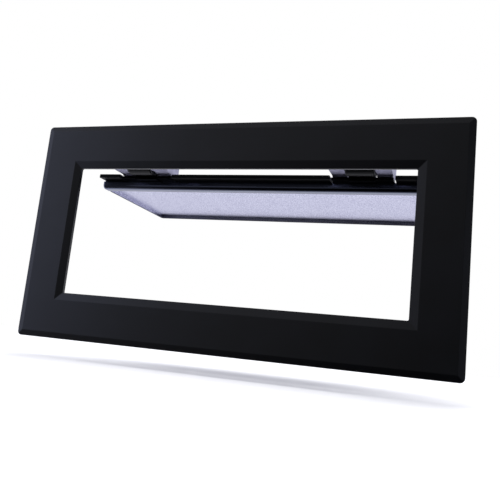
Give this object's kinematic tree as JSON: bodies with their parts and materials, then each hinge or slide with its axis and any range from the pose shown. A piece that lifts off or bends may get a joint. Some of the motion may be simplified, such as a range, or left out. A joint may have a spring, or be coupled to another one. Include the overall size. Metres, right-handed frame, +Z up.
{
  "type": "trash compactor feed opening flap",
  "caption": "Black bezel frame for a trash compactor's feed opening, with a top-hung metal flap that swings inward on friction hinges.",
  "frame": {"origin": "centre of the bezel frame's flat rear face, in the plane that meets the cabinet", "axes": "+X right as seen from the front, +Y into the cabinet, square to the frame, +Z up"},
  "size_m": [0.46, 0.2064, 0.237],
  "materials": {
    "frame_black": "satin black powder coat",
    "seal_foam": "matt closed-cell foam",
    "zinc_steel": "bright zinc plate",
    "lug_zinc": "satin zinc casting",
    "pin_steel": "ground steel",
    "friction_polymer": "filled bearing polymer",
    "leaf_black": "satin black coated steel",
    "black_screw": "black oxide",
    "face_steel": "fine-grained satin stainless",
    "nose_aluminium": "satin anodised",
    "core_foam": "rigid foam board",
    "back_abs": "fine-textured black"
  },
  "bodies": {
    "frame": {"front_frame": "frame_black", "opening_seal": "seal_foam", "mounting_studs": "zinc_steel", "hinge_bracket_left": "lug_zinc", "bracket_screws_left": "zinc_steel", "hinge_pin_left": "pin_steel", "friction_discs_left": "friction_polymer", "hinge_bracket_right": "lug_zinc", "bracket_screws_right": "zinc_steel", "hinge_pin_right": "pin_steel", "friction_discs_right": "friction_polymer"},
    "flap": {"hinge_leaf_left": "leaf_black", "friction_sleeve_left": "friction_polymer", "leaf_screws_left": "black_screw", "backing_plate_left": "zinc_steel", "hinge_leaf_right": "leaf_black", "friction_sleeve_right": "friction_polymer", "leaf_screws_right": "black_screw", "backing_plate_right": "zinc_steel", "flap_panel": "face_steel", "flap_nose": "nose_aluminium", "nose_end_cap_left": "nose_aluminium", "nose_end_cap_right": "nose_aluminium", "flap_core": "core_foam", "flap_back_panel": "back_abs"}
  },
  "joints": [
    {"name": "flap_hinge", "type": "hinge", "parent": "frame", "child": "flap", "pos_m": [0, 0.0295, 0.0892], "axis": [-1, 0, 0], "range_deg": [0, 90]}
  ]
}
